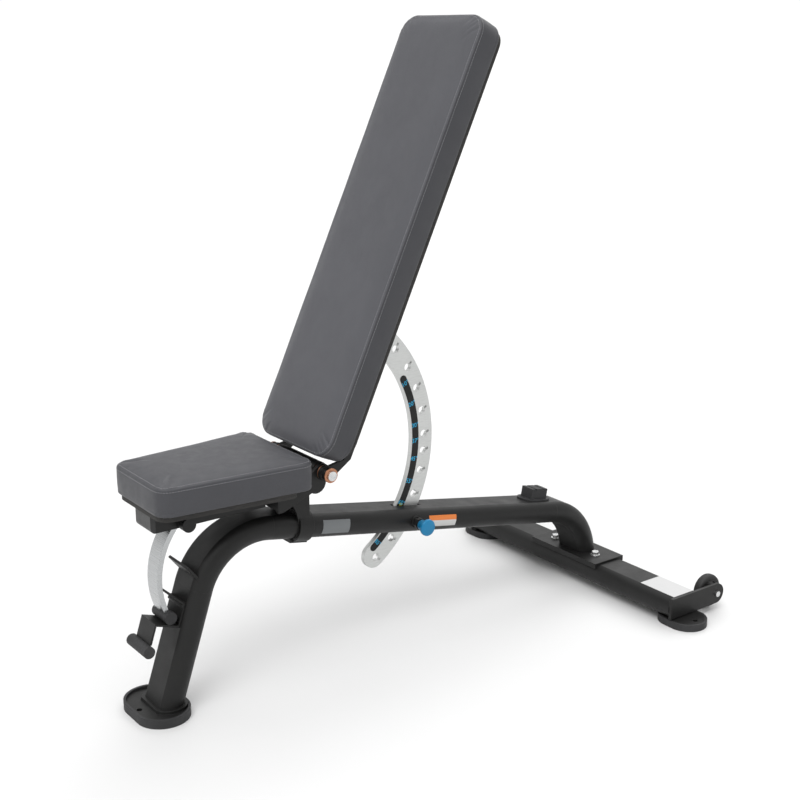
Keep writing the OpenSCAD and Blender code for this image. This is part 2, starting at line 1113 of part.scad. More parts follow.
// Side view of a pad whose two front edges are rounded
module side_round(x0, x1, s0, s1) {
  translate([x0 + pad_edge_r, s0])
    square([x1 - x0 - pad_edge_r, s1 - s0]);
  translate([x0, s0 + pad_edge_r])
    square([pad_edge_r + 1, s1 - s0 - 2 * pad_edge_r]);
  for (s = [s0 + pad_edge_r, s1 - pad_edge_r])
    translate([x0 + pad_edge_r, s])
      circle(r = pad_edge_r);
}

module back_bolts() {
  color([0.6, 0.6, 0.6])
    on_back()
      for (s = back_rails)
        for (side = [-1, 1])
          translate([beam_x0, side * rail_bolt_y, s])
            rotate([0, 90, 0])
              hex_bolt(6.5, 5, 4, rail_t + board_t - 3);
}

// ---------- seat ----------

module seat_tube() {
  color([0.11, 0.11, 0.11])
    at_pivot()
      difference() {
        union() {
          translate([seat_tube_front, -seat_tube_w / 2, seat_tube_z0])
            cube([end_plate_x - seat_tube_front, seat_tube_w, seat_tube_h]);
          translate([end_plate_x, -seat_plate_y, seat_tube_z0 + 4])
            cube([end_plate_t, 2 * seat_plate_y, seat_tube_h - 4]);
        }
        translate([seat_tube_front - 1, -seat_tube_w / 2 + tube_t, seat_tube_z0 + tube_t])
          cube([end_plate_x - seat_tube_front + 1, seat_tube_w - 2 * tube_t, seat_tube_h - 2 * tube_t]);
        translate([strut_slot[0], -strut_w / 2 - 2, seat_tube_z0 - 1])
          cube([strut_slot[1] - strut_slot[0], strut_w + 4, tube_t + 2]);
        translate([strut_x, 0, strut_z])
          bar_y(strut_pin_r, 100);
      }
}

module seat_tube_cap() {
  color([0.07, 0.07, 0.07])
    at_pivot()
      translate([seat_tube_front, 0, seat_tube_z0])
        slab(-seat_tube_w / 2, seat_tube_w / 2) {
          translate([-cap_len, cap_len])
            square([cap_len, seat_tube_h - cap_len]);
          intersection() {
            translate([0, cap_len])
              circle(r = cap_len);
            translate([-cap_len, 0])
              square(cap_len);
          }
        }
}

// Side plate of the seat hinge, relative to the pivot: round at the pin, level with the tube in front
module seat_lug_outline() {
  circle(r = 16);
  translate([-14, -20.5])
    circle(r = 21);
  polygon([
    [-12, 11], [-52, -15], [-68, seat_pad_z0 - seat_board_t - 1.5], [end_plate_x, seat_tube_z0 + seat_tube_h],
    [end_plate_x, seat_tube_z0], [-90, seat_tube_z0], [-29, -40], [4, -26], [15.5, -4]
  ]);
}

module seat_lug(s) {
  color([0.1, 0.1, 0.1])
    scale_y(s)
      at_pivot()
        difference() {
          slab(seat_plate_y, seat_plate_y + seat_plate_t)
            seat_lug_outline();
          bar_y(bush_r, 300);
        }
}

module seat_lug_right() { seat_lug(-1); }
module seat_lug_left() { seat_lug(1); }

module seat_bushes() {
  color([0.63, 0.43, 0.33])
    at_pivot()
      both_sides()
        difference() {
          union() {
            bar_span(bush_r, seat_plate_y, seat_plate_y + seat_plate_t);
            bar_span(flange_r, boss_y + 0.4, seat_plate_y);
          }
          bar_y(pin_r + fit, 400);
        }
}

module seat_bolt_holes() {
  for (x = seat_rails)
    for (side = [-1, 1])
      translate([x, side * seat_bolt_y, seat_pad_z0 - 42])
        cylinder(r = bolt_hole_r, h = 40);
}

module seat_rail_bars() {
  color([0.12, 0.12, 0.12])
    at_pivot()
      difference() {
        for (x = seat_rails)
          translate([x - rail_w / 2, -seat_rail_len / 2, seat_tube_z0 + seat_tube_h])
            cube([rail_w, seat_rail_len, rail_t]);
        seat_bolt_holes();
      }
}

// Plan of the seat: narrower in front, with round corners
module seat_outline(inset, rear) {
  front = seat_rear - seat_len;
  hull()
    for (s = [-1, 1]) {
      translate([front + 34, s * (seat_front_w / 2 - 34)])
        circle(r = 34 - inset, $fn = 32);
      translate([rear - 26, s * (seat_rear_w / 2 - 26)])
        circle(r = 26 - inset, $fn = 32);
    }
}

module seat_board() {
  color([0.06, 0.06, 0.06])
    at_pivot()
      difference() {
        translate([0, 0, seat_pad_z0 - seat_board_t])
          linear_extrude(height = seat_board_t)
            seat_outline(seat_board_in, seat_board_rear + seat_board_in);
        seat_bolt_holes();
      }
}

module seat_pad() {
  top = seat_top + seat_crown - pivot_z;
  color([0.36, 0.365, 0.385])
    at_pivot()
      intersection() {
        translate([0, 0, seat_pad_z0])
          linear_extrude(height = top - seat_pad_z0)
            seat_outline(0, seat_rear);
        slab(-seat_rear_w, seat_rear_w)
          rotate(-90)
            side_round(-top, -seat_pad_z0, seat_rear - seat_len, seat_rear);
      }
}

module seat_bolts() {
  color([0.6, 0.6, 0.6])
    at_pivot()
      for (x = seat_rails)
        for (side = [-1, 1])
          translate([x, side * seat_bolt_y, seat_tube_z0 + seat_tube_h])
            mirror([0, 0, 1])
              hex_bolt(6.5, 5, 4, rail_t + seat_board_t - 3);
}

// Clevis pin through the seat tube: a round head on the right side, a nut on the left
module strut_pin() {
  side = seat_tube_w / 2;
  color([0.08, 0.08, 0.08])
    at_pivot()
      translate([strut_x, 0, strut_z]) {
        bar_span(strut_pin_r, -side - 10, side + 12);
        bar_span(11, -side - 6, -side);
        bar_span(13.8, -side - 26, -side - 8);
        rotate([90, 0, 0])
          translate([0, 0, -side - 9])
            cylinder(r = 11, h = 9, $fn = 6);
      }
}

// ---------- seat strut ----------

// The bar follows one arc from its eye to the roller
strut_chord = roller_at - [strut_x, strut_z];
strut_half = norm(strut_chord) / 2;
strut_r = (strut_half * strut_half + strut_bow * strut_bow) / (2 * strut_bow);
strut_dir = atan2(strut_chord[1], strut_chord[0]);
strut_swing = asin(strut_half / strut_r);

module at_roller() {
  at_pivot()
    translate([roller_at[0], 0, roller_at[1]])
      children();
}

module strut() {
  color([0.72, 0.73, 0.74])
    difference() {
      at_pivot()
        translate([strut_x, 0, strut_z])
          difference() {
            union() {
              rotate([0, -strut_dir, 0])
                translate([strut_half, 0, strut_r - strut_bow])
                  slab(-strut_w / 2, strut_w / 2)
                    sector(strut_r - strut_t / 2, strut_r + strut_t / 2,
                           -90 - strut_swing, -90 + strut_swing);
              bar_y(strut_eye_r, strut_w);
            }
            bar_y(strut_pin_r + fit, 100);
          }
      at_roller()
        bar_y(roller_r, 100);
    }
}

module strut_roller() {
  color([0.09, 0.09, 0.09])
    at_roller()
      bar_y(roller_r, roller_len);
}

front_foot_pad();
front_foot_plate();
front_leg_tube();
front_bend_tube();
spine_tube();
rear_bend_tube();
rear_crossbar();
rear_saddle();
saddle_bolts();
saddle_washers();
wheel_bracket_right();
wheel_bracket_left();
rear_foot_pad_right();
rear_foot_pad_left();
rear_foot_plates();
axle_bolts();
wheel_spacers();
wheel_tyre_right();
wheel_tyre_left();
wheel_hub_right();
wheel_hub_left();
rest_block();
hinge_post();
hinge_pin();
hinge_screws();
pin_barrel();
pin_collar();
pin_spring();
lock_pin();
pin_knob();
ladder();
upper_hook();
lift_handle();
name_plate();
spine_label();
crossbar_label();
back_beam();
back_beam_caps();
back_cross_tube();
back_lug_right();
back_lug_left();
back_bushes();
adjuster_plate();
angle_strip();
back_rail_bars();
back_board();
back_pad();
back_bolts();
seat_tube();
seat_tube_cap();
seat_lug_right();
seat_lug_left();
seat_bushes();
seat_rail_bars();
seat_board();
seat_pad();
seat_bolts();
strut_pin();
strut();
strut_roller();
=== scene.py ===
"""Adjustable weight bench: procedural materials, sewn cushions, print and a studio view."""

import json
import math

import bmesh
import bpy
from mathutils import Matrix, Vector, noise


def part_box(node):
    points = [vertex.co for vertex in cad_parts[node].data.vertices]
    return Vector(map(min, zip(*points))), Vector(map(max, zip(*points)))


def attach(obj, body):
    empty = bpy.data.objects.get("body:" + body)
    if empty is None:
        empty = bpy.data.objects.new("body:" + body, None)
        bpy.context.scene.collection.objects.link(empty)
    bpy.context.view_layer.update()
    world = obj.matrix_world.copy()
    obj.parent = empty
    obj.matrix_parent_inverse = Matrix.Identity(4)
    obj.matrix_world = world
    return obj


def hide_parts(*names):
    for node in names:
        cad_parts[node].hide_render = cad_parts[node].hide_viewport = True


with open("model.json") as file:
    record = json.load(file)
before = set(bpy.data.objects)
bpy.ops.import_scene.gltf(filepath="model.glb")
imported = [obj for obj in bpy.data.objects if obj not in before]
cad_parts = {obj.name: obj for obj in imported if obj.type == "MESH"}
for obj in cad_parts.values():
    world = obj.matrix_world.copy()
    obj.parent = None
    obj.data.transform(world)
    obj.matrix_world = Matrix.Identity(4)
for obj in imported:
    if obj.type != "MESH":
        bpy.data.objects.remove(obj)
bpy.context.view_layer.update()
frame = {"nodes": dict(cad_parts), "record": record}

MM = 0.001
NODES = frame["nodes"]
RECORD = frame["record"]
JOINTS = {j["name"]: j for j in RECORD["behaviour"]["joints"]}
SLOTS = {s["node"]: s["material_slot"] for s in RECORD["subparts"]}
PIVOT = Vector(JOINTS["back_hinge"]["pos_m"])
LOCK = Vector(JOINTS["pin_slide"]["pos_m"])

# The back pad's angle above the floor at rest, and the fall of the spine
BACK_ANGLE = math.radians(65)
SPINE_FALL = math.radians(10.25)


# ---------- frames of reference ----------


def axes(origin, x_axis, z_axis):
    """Matrix of a right-handed frame at origin, from its x and z directions."""
    x = Vector(x_axis).normalized()
    z = Vector(z_axis).normalized()
    y = z.cross(x)
    matrix = Matrix((x, y, z)).transposed().to_4x4()
    matrix.translation = origin
    return matrix


UP_BACK = Vector((math.cos(BACK_ANGLE), 0, math.sin(BACK_ANGLE)))
OUT_OF_BACK = Vector((-math.sin(BACK_ANGLE), 0, math.cos(BACK_ANGLE)))
BACK_FRAME = axes(PIVOT, UP_BACK, OUT_OF_BACK)
SEAT_FRAME = axes(PIVOT, (1, 0, 0), (0, 0, 1))


def local_points(node, matrix):
    """A CAD node's vertices, measured in another frame."""
    inverse = matrix.inverted()
    return [inverse @ v.co for v in NODES[node].data.vertices]


def local_box(node, matrix):
    """Lowest and highest corner of a CAD node, measured in another frame."""
    points = local_points(node, matrix)
    low = Vector([min(p[i] for p in points) for i in range(3)])
    high = Vector([max(p[i] for p in points) for i in range(3)])
    return low, high


# ---------- node graphs ----------


class Graph:
    """A material and short calls that add nodes to it."""

    def __init__(self, name):
        self.material = bpy.data.materials.new(name)
        self.material.use_nodes = True
        self.tree = self.material.node_tree
        self.shader = self.tree.nodes["Principled BSDF"]
        self.coords = self.tree.nodes.new("ShaderNodeTexCoord").outputs["Object"]

    def put(self, socket, value):
        """A value or another node's output goes into a socket."""
        if isinstance(value, bpy.types.NodeSocket):
            self.tree.links.new(value, socket)
        elif socket.type == "RGBA" and len(value) == 3:
            socket.default_value = (*value, 1)
        else:
            socket.default_value = value

    def set(self, **values):
        """Sets the shader's own sockets; an underscore stands for a space."""
        for name, value in values.items():
            self.put(self.shader.inputs[name.replace("_", " ")], value)

    def math(self, operation, a, b=0.0, clamp=False):
        node = self.tree.nodes.new("ShaderNodeMath")
        node.operation = operation
        node.use_clamp = clamp
        self.put(node.inputs[0], a)
        self.put(node.inputs[1], b)
        return node.outputs[0]

    def scaled(self, factors, vector=None):
        """The coordinates, stretched by a factor along each axis."""
        node = self.tree.nodes.new("ShaderNodeVectorMath")
        node.operation = "MULTIPLY"
        self.put(node.inputs[0], vector or self.coords)
        self.put(node.inputs[1], factors)
        return node.outputs[0]

    def noise(self, scale, detail=3.0, rough=0.5, vector=None):
        node = self.tree.nodes.new("ShaderNodeTexNoise")
        self.put(node.inputs["Vector"], vector or self.coords)
        node.inputs["Scale"].default_value = scale
        node.inputs["Detail"].default_value = detail
        node.inputs["Roughness"].default_value = rough
        return node.outputs[0]

    def cells(self, scale, feature="F1", vector=None):
        node = self.tree.nodes.new("ShaderNodeTexVoronoi")
        node.feature = feature
        self.put(node.inputs["Vector"], vector or self.coords)
        node.inputs["Scale"].default_value = scale
        return node.outputs["Distance"]

    def remap(self, value, low, high, new_low=0.0, new_high=1.0):
        node = self.tree.nodes.new("ShaderNodeMapRange")
        node.clamp = True
        for socket, v in zip(node.inputs, (value, low, high, new_low, new_high)):
            self.put(socket, v)
        return node.outputs[0]

    def mix(self, factor, a, b):
        node = self.tree.nodes.new("ShaderNodeMix")
        node.data_type = "RGBA"
        self.put(node.inputs[0], factor)
        self.put(node.inputs[6], a)
        self.put(node.inputs[7], b)
        return node.outputs[2]

    def split(self, vector=None):
        node = self.tree.nodes.new("ShaderNodeSeparateXYZ")
        self.put(node.inputs[0], vector or self.coords)
        return node.outputs

    def attribute(self, name):
        node = self.tree.nodes.new("ShaderNodeAttribute")
        node.attribute_name = name
        return node.outputs["Vector"]

    def soft_edges(self, radius):
        node = self.tree.nodes.new("ShaderNodeBevel")
        node.samples = 3
        node.inputs["Radius"].default_value = radius
        return node.outputs[0]

    def edge_mask(self, softened, low=0.04, high=0.3):
        """1 on hard edges and 0 on flats: how far the softened normal leans from the true one."""
        geometry = self.tree.nodes.new("ShaderNodeNewGeometry")
        dot = self.tree.nodes.new("ShaderNodeVectorMath")
        dot.operation = "DOT_PRODUCT"
        self.put(dot.inputs[0], softened)
        self.put(dot.inputs[1], geometry.outputs["Normal"])
        lean = self.math("SUBTRACT", 1.0, dot.outputs["Value"])
        return self.remap(lean, low, high)

    def bump(self, height, strength, distance, normal=None):
        node = self.tree.nodes.new("ShaderNodeBump")
        self.put(node.inputs["Height"], height)
        node.inputs["Strength"].default_value = strength
        node.inputs["Distance"].default_value = distance
        if normal:
            self.put(node.inputs["Normal"], normal)
        return node.outputs[0]


# ---------- materials ----------


def powder_coat(name, colour, roughness=0.43):
    """Satin powder coat: fine orange peel, slight tone drift, edges rubbed a little lighter."""
    g = Graph(name)
    drift = g.noise(7, 4, 0.6)
    grains = g.noise(1500, 2, 0.6)
    peel = g.noise(420, 2, 0.5)
    light = [c * 1.4 + 0.002 for c in colour]
    base = g.mix(g.remap(drift, 0.35, 0.7, 0.0, 0.5), colour, light)
    speckled = g.mix(g.remap(grains, 0.5, 0.75, 0.0, 0.35), base, [c * 2.0 + 0.006 for c in colour])
    soft = g.soft_edges(0.0014)
    worn = g.math("MULTIPLY", g.edge_mask(soft), g.remap(g.noise(60, 4, 0.7), 0.42, 0.62))
    g.set(Base_Color=g.mix(g.math("MULTIPLY", worn, 0.35), speckled, (0.12, 0.12, 0.118)))
    g.set(Roughness=g.remap(g.noise(24, 5, 0.6), 0.3, 0.7, roughness - 0.05, roughness + 0.08))
    g.set(Specular_IOR_Level=0.28)
    relief = g.math("ADD", g.math("MULTIPLY", grains, 0.5), peel)
    g.set(Normal=g.bump(relief, 0.16, 0.0004, soft))
    return g.material


def moulded_rubber(name, colour, roughness=0.62):
    """Matt rubber: cloudy bloom and fine pitting."""
    g = Graph(name)
    bloom = g.noise(18, 5, 0.65)
    pits = g.cells(1400)
    base = g.mix(g.remap(bloom, 0.4, 0.7, 0.0, 0.6), colour, [c * 1.9 + 0.012 for c in colour])
    g.set(Base_Color=base, Specular_IOR_Level=0.35)
    g.set(Roughness=g.remap(bloom, 0.3, 0.7, roughness - 0.06, roughness + 0.12))
    height = g.math("ADD", g.math("MULTIPLY", pits, 0.6), g.noise(260, 3, 0.6))
    g.set(Normal=g.bump(height, 0.22, 0.0005, g.soft_edges(0.0016)))
    return g.material


def moulded_plastic(name, colour, roughness=0.4):
    """Spark-eroded plastic: a tight even grain."""
    g = Graph(name)
    grain = g.noise(2200, 2, 0.5)
    drift = g.noise(14, 3, 0.5)
    g.set(Base_Color=g.mix(g.remap(drift, 0.35, 0.7), colour, [c * 1.35 + 0.003 for c in colour]))
    g.set(Roughness=g.remap(g.noise(60, 4, 0.6), 0.3, 0.7, roughness - 0.06, roughness + 0.08))
    g.set(Normal=g.bump(grain, 0.12, 0.0003, g.soft_edges(0.001)))
    return g.material


def brushed(name, colour, roughness, stretch, scale=1.0):
    """Brushed or ground metal: long fine scratches along one axis, and duller patches."""
    g = Graph(name)
    lines = g.noise(1, 4, 0.65, g.scaled([s * scale for s in stretch]))
    patches = g.noise(16, 5, 0.6)
    dark = [c * 0.8 for c in colour]
    tone = g.mix(g.remap(lines, 0.3, 0.7), dark, colour)
    soft = g.soft_edges(0.0009)
    edge = g.math("MULTIPLY", g.edge_mask(soft), 0.5)
    g.set(Base_Color=g.mix(edge, tone, [min(1, c * 1.25) for c in colour]), Metallic=1.0)
    shine = g.math("ADD", g.remap(lines, 0.3, 0.7, -0.06, 0.06), g.remap(patches, 0.35, 0.7, -0.04, 0.07))
    g.set(Roughness=g.math("ADD", shine, roughness))
    g.set(Normal=g.bump(lines, 0.12, 0.0002, soft))
    return g.material


def zinc_plate(name):
    """Bright zinc: faint crystalline clouds and turning marks."""
    g = Graph(name)
    clouds = g.noise(90, 5, 0.6)
    turned = g.noise(1, 3, 0.6, g.scaled((300, 2600, 300)))
    g.set(Base_Color=g.mix(g.remap(clouds, 0.35, 0.7), (0.55, 0.56, 0.57), (0.72, 0.72, 0.71)), Metallic=1.0)
    g.set(Roughness=g.remap(clouds, 0.3, 0.7, 0.22, 0.36))
    g.set(Normal=g.bump(turned, 0.08, 0.0002, g.soft_edges(0.0008)))
    return g.material


def oiled_bronze(name):
    """Sintered bronze: pores, and a browner film where oil has dried."""
    g = Graph(name)
    pores = g.cells(1900)
    film = g.noise(120, 5, 0.65)
    g.set(Base_Color=g.mix(g.remap(film, 0.35, 0.65), (0.52, 0.24, 0.135), (0.36, 0.17, 0.1)), Metallic=0.75)
    g.set(Roughness=g.remap(film, 0.3, 0.7, 0.36, 0.52))
    g.set(Normal=g.bump(pores, 0.15, 0.0003, g.soft_edges(0.0008)))
    return g.material


def woven_vinyl(name, colour, pitch):
    """Embossed vinyl: over-and-under strands on the diagonal, and a soft satin sheen."""
    g = Graph(name)
    x, y, _ = g.split()
    u = g.math("DIVIDE", g.math("ADD", x, y), pitch)
    v = g.math("DIVIDE", g.math("SUBTRACT", x, y), pitch)
    cell = g.math("ADD", g.math("FLOOR", u), g.math("FLOOR", v))
    over = g.math("GREATER_THAN", g.math("ABSOLUTE", g.math("MODULO", cell, 2.0)), 0.5)
    along_u = g.math("ABSOLUTE", g.math("SINE", g.math("MULTIPLY", u, math.pi)))
    along_v = g.math("ABSOLUTE", g.math("SINE", g.math("MULTIPLY", v, math.pi)))
    strands = g.math(
        "ADD",
        g.math("MULTIPLY", along_u, over),
        g.math("MULTIPLY", along_v, g.math("SUBTRACT", 1.0, over)),
    )
    fine = g.noise(1300, 2, 0.5)
    drift = g.noise(9, 4, 0.55)
    low = [c * 0.62 for c in colour]
    tone = g.mix(g.remap(strands, 0.1, 0.8), low, colour)
    g.set(Base_Color=g.mix(g.remap(drift, 0.35, 0.7, 0.0, 0.4), tone, [c * 1.12 for c in colour]))
    g.set(Roughness=g.remap(g.noise(40, 4, 0.6), 0.3, 0.7, 0.42, 0.54), Specular_IOR_Level=0.36)
    g.set(Sheen_Weight=0.08, Sheen_Roughness=0.4)
    height = g.math("ADD", g.math("MULTIPLY", strands, 0.9), g.math("MULTIPLY", fine, 0.25))
    g.set(Normal=g.bump(height, 0.5, 0.0004, pucker_normal(g)))
    return g.material


def grained_vinyl(name, colour):
    """Plain upholstery vinyl: pebble grain, creases pulled in along the seam."""
    g = Graph(name)
    pebbles = g.cells(820, "SMOOTH_F1")
    fine = g.noise(1900, 2, 0.5)
    drift = g.noise(11, 4, 0.55)
    low = [c * 0.82 for c in colour]
    tone = g.mix(g.remap(pebbles, 0.2, 0.7), colour, low)
    g.set(Base_Color=g.mix(g.remap(drift, 0.35, 0.7, 0.0, 0.4), tone, [c * 1.12 for c in colour]))
    g.set(Roughness=g.remap(g.noise(50, 4, 0.6), 0.3, 0.7, 0.42, 0.56), Specular_IOR_Level=0.36)
    g.set(Sheen_Weight=0.05, Sheen_Roughness=0.4)
    height = g.math("ADD", pebbles, g.math("MULTIPLY", fine, 0.4))
    g.set(Normal=g.bump(height, 0.25, 0.0003, pucker_normal(g)))
    return g.material


def pucker_normal(g):
    """Short creases across the seam that fade within about a centimetre of it."""
    seam = g.attribute("seam")
    away = g.math("ABSOLUTE", g.split(seam)[2])
    creases = g.noise(1, 2, 0.5, g.scaled((150, 150, 26), seam))
    near = g.remap(away, 0.001, 0.013, 1.0, 0.0)
    return g.bump(g.math("MULTIPLY", creases, near), 0.5, 0.0014)


def thread(name, colour):
    """Twisted polyester thread."""
    g = Graph(name)
    twist = g.noise(1, 2, 0.5, g.scaled((2400, 2400, 2400)))
    g.set(Base_Color=g.mix(twist, [c * 0.7 for c in colour], colour), Roughness=0.5)
    g.set(Sheen_Weight=0.3, Normal=g.bump(twist, 0.3, 0.0003))
    return g.material


def stained_ply(name):
    """Black-stained plywood: open grain on the faces and plies at the edge."""
    g = Graph(name)
    grain = g.noise(1, 5, 0.6, g.scaled((30, 420, 420)))
    g.set(Base_Color=g.mix(g.remap(grain, 0.35, 0.7), (0.008, 0.008, 0.008), (0.03, 0.027, 0.024)))
    g.set(Roughness=0.72, Normal=g.bump(grain, 0.4, 0.0006))
    return g.material


def printed_film(name, colour, roughness=0.35):
    """Thin printed film with a faint ripple from the surface under it."""
    g = Graph(name)
    ripple = g.noise(55, 3, 0.5)
    grain = g.noise(1700, 2, 0.5)
    g.set(Specular_IOR_Level=0.3)
    g.set(Base_Color=g.mix(g.remap(grain, 0.3, 0.7), [c * 0.93 for c in colour], colour))
    g.set(Roughness=g.remap(ripple, 0.3, 0.7, roughness - 0.06, roughness + 0.08))
    g.set(Normal=g.bump(ripple, 0.25, 0.0006))
    return g.material


def banded_film(name, node):
    """Film with a solid band along its upper part, over white."""
    low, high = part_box(node)
    g = Graph(name)
    x, _, z = g.split()
    fall = math.tan(SPINE_FALL)
    level = g.math("ADD", z, g.math("MULTIPLY", g.math("SUBTRACT", x, low.x), fall))
    height = high.z - low.z - (high.x - low.x) * fall
    upper = g.math("GREATER_THAN", level, high.z - height * 0.42)
    ripple = g.noise(55, 3, 0.5)
    g.set(Base_Color=g.mix(upper, (0.5, 0.5, 0.49), (0.62, 0.17, 0.03)), Roughness=0.35)
    g.set(Normal=g.bump(ripple, 0.25, 0.0006))
    return g.material


def anodised(name, colour):
    """Coloured anodised or lacquered metal with a fine lathe finish."""
    g = Graph(name)
    rings = g.noise(1, 2, 0.5, g.scaled((60, 2400, 60)))
    fine = g.noise(1600, 2, 0.5)
    g.set(Base_Color=g.mix(g.noise(30, 3), [c * 0.86 for c in colour], colour), Metallic=0.15)
    g.set(Roughness=g.remap(fine, 0.3, 0.7, 0.3, 0.4), Coat_Weight=0.05, Coat_Roughness=0.2,
          Specular_IOR_Level=0.3)
    g.set(Normal=g.bump(rings, 0.08, 0.0002, g.soft_edges(0.0012)))
    return g.material


VINYL = (0.072, 0.073, 0.082)

MATERIALS = {
    "frame_paint": powder_coat("frame_paint", (0.0075, 0.0075, 0.0073)),
    "foot_rubber": moulded_rubber("foot_rubber", (0.02, 0.02, 0.021)),
    "wheel_rubber": moulded_rubber("wheel_rubber", (0.011, 0.011, 0.011), 0.55),
    "black_plastic": moulded_plastic("black_plastic", (0.012, 0.012, 0.012)),
    "zinc": zinc_plate("zinc"),
    "plate_steel": brushed("plate_steel", (0.62, 0.63, 0.62), 0.36, (60, 60, 1500)),
    "bronze": oiled_bronze("bronze"),
    "knob_blue": anodised("knob_blue", (0.012, 0.19, 0.38)),
    "board_ply": stained_ply("board_ply"),
    "label_film": printed_film("label_film", (0.16, 0.17, 0.175)),
    "label_orange": banded_film("label_orange", "spine_label"),
    "strip_black": printed_film("strip_black", (0.006, 0.006, 0.006), 0.5),
}
STRUT_STEEL = brushed("strut_steel", (0.5, 0.51, 0.515), 0.26, (700, 12, 700))
FACE_VINYL = woven_vinyl("back_face_vinyl", VINYL, 3.2 * MM)
# Plain grained vinyl for the cushion sides and underside. Its colour is the face vinyl's darkened to 0.6,
# which is painted shade for sides turned away from the light. The grain is the cover's own. It is also the
# fallback finish for CAD nodes without a listed slot.
PAINTED_SHADE_SIDE_VINYL = grained_vinyl("side_vinyl_painted_shade", [c * 0.6 for c in VINYL])
# The seat's vinyl is the face vinyl darkened to 0.68, which is painted shade matching how dark the seat looks
# under the light. Its grain is the cover's own.
PAINTED_SHADE_SEAT_VINYL = grained_vinyl("seat_vinyl_painted_shade", [c * 0.68 for c in VINYL])
THREAD = thread("thread", (0.26, 0.26, 0.275))
PRINT_BLUE = printed_film("print_blue", (0.02, 0.42, 0.72), 0.4)
PRINT_OLIVE = printed_film("print_olive", (0.35, 0.36, 0.05), 0.4)
WHITE_FILM = printed_film("white_film", (0.5, 0.5, 0.5))
OWN_FINISH = {"strut": STRUT_STEEL, "crossbar_label": WHITE_FILM}


def paint_frame():
    """Every CAD node gets the finish of its slot."""
    for name, obj in NODES.items():
        material = OWN_FINISH.get(name) or MATERIALS.get(SLOTS[name], PAINTED_SHADE_SIDE_VINYL)
        for index in range(max(1, len(obj.material_slots))):
            if obj.material_slots:
                obj.material_slots[index].material = material
            else:
                obj.data.materials.append(material)


# ---------- mesh helpers ----------


def new_object(name, mesh, materials, body, matrix=None):
    """A mesh object placed in the row frame, with its materials, riding on a body."""
    obj = bpy.data.objects.new(name, mesh)
    bpy.context.scene.collection.objects.link(obj)
    for material in materials:
        mesh.materials.append(material)
    if matrix:
        obj.matrix_world = matrix
    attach(obj, body)
    return obj


def mesh_of(name, builder):
    """A mesh from a bmesh that builder fills."""
    mesh = bpy.data.meshes.new(name)
    bm = bmesh.new()
    builder(bm)
    bm.normal_update()
    bm.to_mesh(mesh)
    bm.free()
    mesh.shade_smooth()
    return mesh


def ring_loft(bm, rings, close_ends=True):
    """Quads between successive closed rings of points; the ends are capped."""
    rows = [[bm.verts.new(p) for p in ring] for ring in rings]
    count = len(rows[0])
    for low, high in zip(rows, rows[1:]):
        for i in range(count):
            j = (i + 1) % count
            bm.faces.new((low[i], low[j], high[j], high[i]))
    if close_ends:
        bm.faces.new(reversed(rows[0]))
        bm.faces.new(rows[-1])
    return rows


def lathe(name, profile, centre, axis_y=1, segments=72):
    """A turned piece about the Y axis through centre; profile is (radius, distance along Y) pairs."""

    def build(bm):
        rings = []
        for radius, along in profile:
            ring = []
            for i in range(segments):
                a = 2 * math.pi * i / segments
                ring.append(centre + Vector((radius * math.cos(a), axis_y * along, radius * math.sin(a))))
            rings.append(ring)
        ring_loft(bm, rings)
        bmesh.ops.recalc_face_normals(bm, faces=bm.faces)

    return mesh_of(name, build)


# ---------- cushions ----------


def rounded_outline(corners, step):
    """(point, outward normal) pairs round a convex outline given as (x, y, corner radius), anticlockwise."""
    found = []
    count = len(corners)
    for k in range(count):
        before, here, after = (Vector(corners[(k + d) % count][:2]) for d in (-1, 0, 1))
        radius = corners[k][2]
        into = (here - before).normalized()
        out = (after - here).normalized()
        turn = math.acos(max(-1, min(1, into.dot(out))))
        cut = radius * math.tan(turn / 2)
        start = here - into * cut
        normal = Vector((into.y, -into.x))
        centre = start - normal * radius
        arc_steps = max(4, round(radius * turn / (step * 0.6)))
        for i in range(arc_steps):
            a = turn * i / arc_steps
            n = Vector((normal.x * math.cos(a) - normal.y * math.sin(a),
                        normal.x * math.sin(a) + normal.y * math.cos(a)))
            found.append((centre + n * radius, n))
        n_out = Vector((out.y, -out.x))
        arc_end = centre + n_out * radius
        next_corner = corners[(k + 1) % count]
        beyond = (Vector(corners[(k + 2) % count][:2]) - after).normalized()
        next_turn = math.acos(max(-1, min(1, out.dot(beyond))))
        edge_end = after - out * next_corner[2] * math.tan(next_turn / 2)
        length = (edge_end - arc_end).length
        edge_steps = max(1, round(length / step))
        for i in range(edge_steps):
            found.append((arc_end + (edge_end - arc_end) * (i / edge_steps), n_out))
    return found


